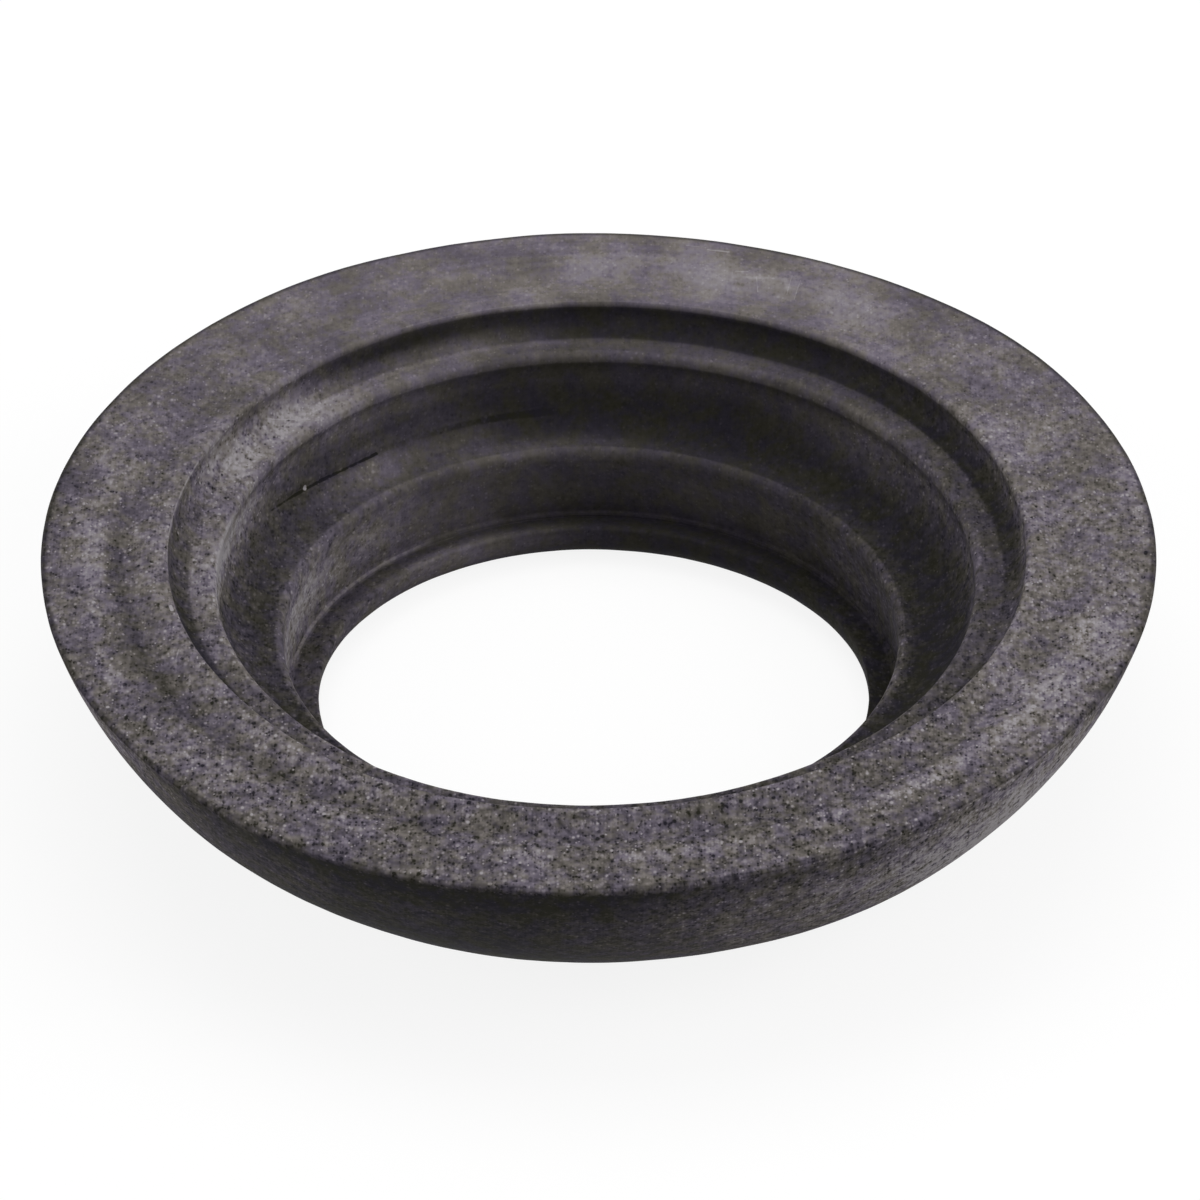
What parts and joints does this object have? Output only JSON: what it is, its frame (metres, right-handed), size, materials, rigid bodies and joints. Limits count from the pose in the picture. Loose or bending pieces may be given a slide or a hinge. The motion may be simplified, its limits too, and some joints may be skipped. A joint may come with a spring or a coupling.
{
  "type": "tank to bowl gasket",
  "caption": "Moulded black rubber ring with a bowed outer wall and stepped recesses round its throat, which seals a toilet tank to its bowl.",
  "frame": {"origin": "centre of the narrow face that the ring stands on", "axes": "+Z along the axis of the throat, from the narrow face up to the broad face; the ring is round, so +X and +Y are any two directions across it"},
  "size_m": [0.102, 0.102, 0.0203],
  "materials": {
    "rubber": "matt"
  },
  "bodies": {
    "root": {"tank_to_bowl_gasket": "rubber"}
  },
  "joints": []
}
